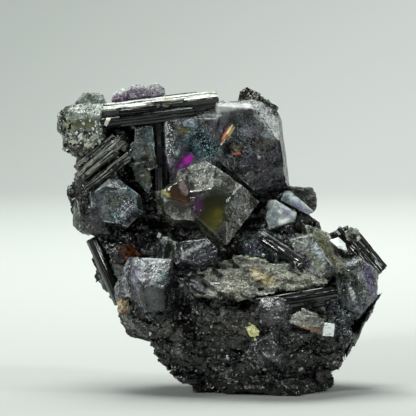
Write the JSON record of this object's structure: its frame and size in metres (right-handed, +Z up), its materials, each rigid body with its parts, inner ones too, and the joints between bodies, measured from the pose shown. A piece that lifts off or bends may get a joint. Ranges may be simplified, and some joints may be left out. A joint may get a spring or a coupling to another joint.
{
  "type": "fluorite with schorl specimen",
  "caption": "Hand-sized mineral specimen: smoky, olive and purple fluorite crystals with black schorl prisms on a dark matrix that stands on a small flat spot.",
  "frame": {"origin": "on the flat spot that the specimen rests on, near its middle", "axes": "+X to the right across the show face, +Y away from the viewer, +Z up"},
  "size_m": [0.0444, 0.0223, 0.0418],
  "materials": {
    "smoky_fluorite": "smoky grey translucent crystal, softly frosted faces",
    "olive_fluorite": "olive and violet translucent crystal, clear window faces",
    "pale_fluorite": "pale grey-green to bluish white translucent crystal",
    "purple_fluorite": "purple translucent crystal with white rims",
    "black_schorl": "black, glossy, grooved along the crystal",
    "brown_schorl": "brown-black, part glossy, part dusty",
    "dark_matrix": "dark sparkling rock of fine schorl needles and feldspar grains",
    "feldspar": "grey-tan sandy rock with rust and golden spots",
    "mica": "silver-white pearly flake",
    "yellow_grain": "lemon-yellow grain",
    "rust_grain": "tan and rust-brown grain"
  },
  "bodies": {
    "root": {"big_fluorite": "smoky_fluorite", "left_fluorite": "smoky_fluorite", "middle_fluorite": "smoky_fluorite", "ridge_fluorite": "smoky_fluorite", "corner_fluorite": "smoky_fluorite", "upper_knob": "smoky_fluorite", "lower_knob": "smoky_fluorite", "back_fluorite_high": "smoky_fluorite", "back_fluorite_low": "smoky_fluorite", "front_fluorite": "olive_fluorite", "olive_fluorite": "olive_fluorite", "pale_fluorite": "pale_fluorite", "white_fluorite": "pale_fluorite", "point_fluorite": "pale_fluorite", "slope_fluorite": "pale_fluorite", "right_fluorite": "pale_fluorite", "cap_fluorite": "pale_fluorite", "edge_fluorite": "pale_fluorite", "top_fluorite": "purple_fluorite", "blade_fluorite": "purple_fluorite", "back_fluorite_small": "purple_fluorite", "top_schorl": "black_schorl", "left_schorl": "black_schorl", "upright_schorl": "black_schorl", "stub_schorl": "black_schorl", "sharp_schorl": "black_schorl", "shoulder_schorl": "black_schorl", "flank_schorl": "black_schorl", "shelf_schorl": "black_schorl", "edge_schorl": "black_schorl", "back_schorl_high": "black_schorl", "back_schorl_low": "black_schorl", "back_schorl_base": "black_schorl", "crest_schorl": "brown_schorl", "brown_schorl": "brown_schorl", "matrix": "dark_matrix", "feldspar_shelf": "feldspar", "feldspar_wedge": "feldspar", "mica_flake": "mica", "bright_flake": "mica", "yellow_grain": "yellow_grain", "rust_grain": "rust_grain"}
  },
  "joints": []
}
